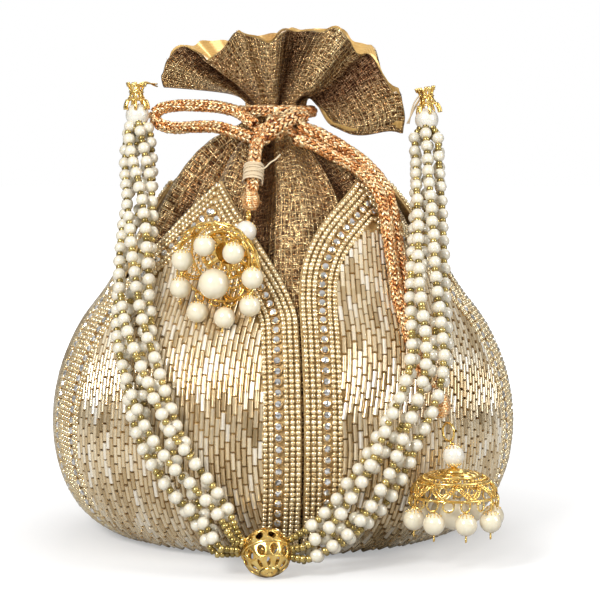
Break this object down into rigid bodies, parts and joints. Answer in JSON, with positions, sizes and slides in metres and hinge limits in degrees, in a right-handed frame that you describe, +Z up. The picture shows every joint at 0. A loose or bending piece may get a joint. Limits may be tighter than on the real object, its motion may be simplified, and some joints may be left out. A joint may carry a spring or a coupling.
{
  "type": "potli bag",
  "caption": "Potli drawstring evening pouch with beaded petal panels, a tied ruffle, a pearl strand handle and bell pendants on the cord ends.",
  "frame": {"origin": "centre of the flat round base, on the surface the bag stands on", "axes": "+Z up, -Y towards the front where the drawstring is tied, +X to the right seen from the front"},
  "size_m": [0.1997, 0.2217, 0.2209],
  "materials": {
    "tissue_cloth": "bronze metallic tissue weave with a fine thread check",
    "satin_lining": "smooth gold satin",
    "beadwork": "silver-lined champagne bugle and seed beads with clear stones on cloth",
    "copper_cord": "crocheted copper metallic thread",
    "gilt_filigree": "bright gilt filigree",
    "pearl": "ivory imitation pearl with a soft lustre",
    "bead_strand": "ivory imitation pearls with gold seed beads between them",
    "binding_thread": "cream binding thread"
  },
  "bodies": {
    "bag": {"base_panel": "tissue_cloth", "pouch": "tissue_cloth", "lining": "satin_lining", "petal_1": "beadwork", "petal_2": "beadwork", "petal_3": "beadwork", "petal_4": "beadwork", "petal_5": "beadwork", "drawstring_wrap": "copper_cord", "drawstring_knot": "copper_cord", "drawstring_loop": "copper_cord", "drawstring_tail_right_a": "copper_cord", "drawstring_tail_right_b": "copper_cord", "drawstring_tail_left": "copper_cord", "tail_whipping": "binding_thread", "cord_end_left": "copper_cord", "cord_end_right": "copper_cord"},
    "handle": {"handle_left_cap": "gilt_filigree", "handle_right_cap": "gilt_filigree", "handle_left_pearl": "pearl", "handle_right_pearl": "pearl", "handle_left_strand_1": "bead_strand", "handle_left_strand_2": "bead_strand", "handle_left_strand_3": "bead_strand", "handle_left_strand_4": "bead_strand", "handle_left_strand_5": "bead_strand", "handle_left_strand_6": "bead_strand", "handle_right_strand_1": "bead_strand", "handle_right_strand_2": "bead_strand", "handle_right_strand_3": "bead_strand", "handle_right_strand_4": "bead_strand", "handle_right_strand_5": "bead_strand", "handle_right_strand_6": "bead_strand", "handle_ball": "gilt_filigree"},
    "left_jhumka": {"left_jhumka_ring": "gilt_filigree", "left_jhumka_top_pearl": "pearl", "left_jhumka_dome": "gilt_filigree"},
    "left_jhumka_clapper": {"left_jhumka_clapper": "pearl"},
    "left_jhumka_drop_1": {"left_jhumka_drop_1": "pearl"},
    "left_jhumka_drop_2": {"left_jhumka_drop_2": "pearl"},
    "left_jhumka_drop_3": {"left_jhumka_drop_3": "pearl"},
    "left_jhumka_drop_4": {"left_jhumka_drop_4": "pearl"},
    "left_jhumka_drop_5": {"left_jhumka_drop_5": "pearl"},
    "left_jhumka_drop_6": {"left_jhumka_drop_6": "pearl"},
    "left_jhumka_drop_7": {"left_jhumka_drop_7": "pearl"},
    "left_jhumka_drop_8": {"left_jhumka_drop_8": "pearl"},
    "right_jhumka": {"right_jhumka_ring": "gilt_filigree", "right_jhumka_top_pearl": "pearl", "right_jhumka_dome": "gilt_filigree"},
    "right_jhumka_clapper": {"right_jhumka_clapper": "pearl"},
    "right_jhumka_drop_1": {"right_jhumka_drop_1": "pearl"},
    "right_jhumka_drop_2": {"right_jhumka_drop_2": "pearl"},
    "right_jhumka_drop_3": {"right_jhumka_drop_3": "pearl"},
    "right_jhumka_drop_4": {"right_jhumka_drop_4": "pearl"},
    "right_jhumka_drop_5": {"right_jhumka_drop_5": "pearl"},
    "right_jhumka_drop_6": {"right_jhumka_drop_6": "pearl"},
    "right_jhumka_drop_7": {"right_jhumka_drop_7": "pearl"},
    "right_jhumka_drop_8": {"right_jhumka_drop_8": "pearl"}
  },
  "joints": [
    {"name": "handle_swing", "type": "hinge", "parent": "bag", "child": "handle", "pos_m": [0, -0.006, 0.195], "axis": [-1, 0, 0], "range_deg": [0, 150]},
    {"name": "left_jhumka_swing", "type": "hinge", "parent": "bag", "child": "left_jhumka", "pos_m": [-0.0136, -0.0622, 0.1417], "axis": [-0.9558, 0.294, 0], "range_deg": [0, 50]},
    {"name": "left_jhumka_clapper_swing", "type": "hinge", "parent": "left_jhumka", "child": "left_jhumka_clapper", "pos_m": [-0.02252, -0.07548, 0.12461], "axis": [-0.9558, 0.294, 0], "range_deg": [0, 12]},
    {"name": "left_jhumka_drop_1_swing", "type": "hinge", "parent": "left_jhumka", "child": "left_jhumka_drop_1", "pos_m": [-0.03966, -0.08256, 0.12995], "axis": [-0.9558, 0.294, 0], "range_deg": [0, 30]},
    {"name": "left_jhumka_drop_2_swing", "type": "hinge", "parent": "left_jhumka", "child": "left_jhumka_drop_2", "pos_m": [-0.03058, -0.08868, 0.13608], "axis": [-0.9558, 0.294, 0], "range_deg": [0, 30]},
    {"name": "left_jhumka_drop_3_swing", "type": "hinge", "parent": "left_jhumka", "child": "left_jhumka_drop_3", "pos_m": [-0.01887, -0.09228, 0.13333], "axis": [-0.9558, 0.294, 0], "range_deg": [0, 30]},
    {"name": "left_jhumka_drop_4_swing", "type": "hinge", "parent": "left_jhumka", "child": "left_jhumka_drop_4", "pos_m": [-0.0114, -0.09125, 0.1233], "axis": [-0.9558, 0.294, 0], "range_deg": [0, 30]},
    {"name": "left_jhumka_drop_5_swing", "type": "hinge", "parent": "left_jhumka", "child": "left_jhumka_drop_5", "pos_m": [-0.01253, -0.0862, 0.11186], "axis": [-0.9558, 0.294, 0], "range_deg": [0, 30]},
    {"name": "left_jhumka_drop_6_swing", "type": "hinge", "parent": "left_jhumka", "child": "left_jhumka_drop_6", "pos_m": [-0.02161, -0.08007, 0.10573], "axis": [-0.9558, 0.294, 0], "range_deg": [0, 30]},
    {"name": "left_jhumka_drop_7_swing", "type": "hinge", "parent": "left_jhumka", "child": "left_jhumka_drop_7", "pos_m": [-0.03332, -0.07647, 0.10848], "axis": [-0.9558, 0.294, 0], "range_deg": [0, 30]},
    {"name": "left_jhumka_drop_8_swing", "type": "hinge", "parent": "left_jhumka", "child": "left_jhumka_drop_8", "pos_m": [-0.04079, -0.0775, 0.11852], "axis": [-0.9558, 0.294, 0], "range_deg": [0, 30]},
    {"name": "right_jhumka_swing", "type": "hinge", "parent": "bag", "child": "right_jhumka", "pos_m": [0.0663, -0.0917, 0.0588], "axis": [-0.8165, -0.5774, 0], "range_deg": [0, 55]},
    {"name": "right_jhumka_clapper_swing", "type": "hinge", "parent": "right_jhumka", "child": "right_jhumka_clapper", "pos_m": [0.0686, -0.097, 0.0386], "axis": [-0.8165, -0.5774, 0], "range_deg": [-12, 12]},
    {"name": "right_jhumka_drop_1_swing", "type": "hinge", "parent": "right_jhumka", "child": "right_jhumka_drop_1", "pos_m": [0.05985, -0.11087, 0.0283], "axis": [-0.8459, 0.5333, 0], "range_deg": [-10, 30]},
    {"name": "right_jhumka_drop_2_swing", "type": "hinge", "parent": "right_jhumka", "child": "right_jhumka_drop_2", "pos_m": [0.07222, -0.11299, 0.0283], "axis": [-0.9753, -0.221, 0], "range_deg": [-10, 30]},
    {"name": "right_jhumka_drop_3_swing", "type": "hinge", "parent": "right_jhumka", "child": "right_jhumka_drop_3", "pos_m": [0.08247, -0.10575, 0.0283], "axis": [-0.5333, -0.8459, 0], "range_deg": [-10, 30]},
    {"name": "right_jhumka_drop_4_swing", "type": "hinge", "parent": "right_jhumka", "child": "right_jhumka_drop_4", "pos_m": [0.08459, -0.09338, 0.0283], "axis": [0.221, -0.9753, 0], "range_deg": [-10, 30]},
    {"name": "right_jhumka_drop_5_swing", "type": "hinge", "parent": "right_jhumka", "child": "right_jhumka_drop_5", "pos_m": [0.07735, -0.08313, 0.0283], "axis": [0.8459, -0.5333, 0], "range_deg": [-10, 30]},
    {"name": "right_jhumka_drop_6_swing", "type": "hinge", "parent": "right_jhumka", "child": "right_jhumka_drop_6", "pos_m": [0.06498, -0.08101, 0.0283], "axis": [0.9753, 0.221, 0], "range_deg": [-10, 30]},
    {"name": "right_jhumka_drop_7_swing", "type": "hinge", "parent": "right_jhumka", "child": "right_jhumka_drop_7", "pos_m": [0.05473, -0.08825, 0.0283], "axis": [0.5333, 0.8459, 0], "range_deg": [-10, 30]},
    {"name": "right_jhumka_drop_8_swing", "type": "hinge", "parent": "right_jhumka", "child": "right_jhumka_drop_8", "pos_m": [0.05261, -0.10062, 0.0283], "axis": [-0.221, 0.9753, 0], "range_deg": [-10, 30]}
  ]
}
